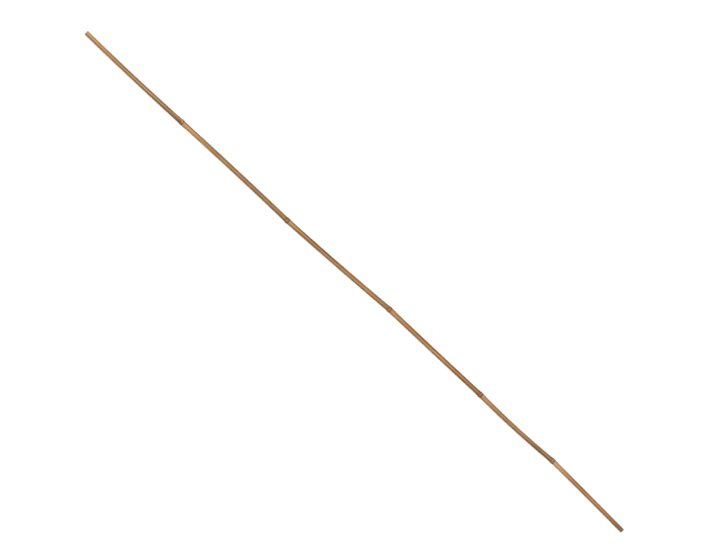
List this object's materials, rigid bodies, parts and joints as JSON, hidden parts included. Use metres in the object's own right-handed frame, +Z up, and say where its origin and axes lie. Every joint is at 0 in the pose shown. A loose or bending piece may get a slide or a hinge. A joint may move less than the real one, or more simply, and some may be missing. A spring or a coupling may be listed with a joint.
{
  "type": "bamboo cane",
  "caption": "Slim dried bamboo cane with swollen joints, slight bends and sawn hollow ends, for propping plants, light trellis and craft work.",
  "frame": {"origin": "middle of the underside of the cane's bounding box, on the surface that it lies on", "axes": "+X along the cane from the butt end to the tip end, +Z up"},
  "size_m": [1.2006, 0.0234, 0.0101],
  "materials": {
    "cane_wood": "dried bamboo rind, tan brown with fine lengthwise fibre streaks, darker at the joints, low satin sheen"
  },
  "bodies": {
    "root": {"cane": "cane_wood"}
  },
  "joints": []
}
